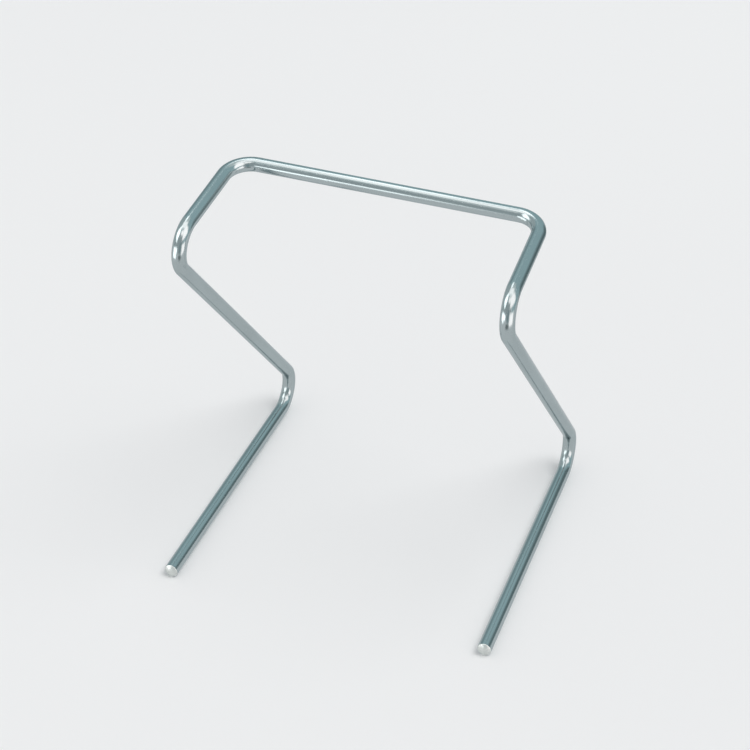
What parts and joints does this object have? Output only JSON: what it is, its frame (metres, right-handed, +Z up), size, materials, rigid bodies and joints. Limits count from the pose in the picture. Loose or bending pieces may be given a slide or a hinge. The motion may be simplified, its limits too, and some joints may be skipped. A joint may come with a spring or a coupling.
{
  "type": "instrument stringer",
  "caption": "Free-standing stringer bent from one bright steel rod: feet flat on the table, raked struts, short arms and a crossbar that hand instruments hang on.",
  "frame": {"origin": "on the table, under the middle of the frame", "axes": "+Z up, +X to the right along the crossbar, -Y to the front, where the toes of the feet point"},
  "size_m": [0.1454, 0.1344, 0.167],
  "materials": {
    "polished_rod": "bright polished steel rod, ends ground to shallow domes"
  },
  "bodies": {
    "root": {"bent_rod": "polished_rod"}
  },
  "joints": []
}
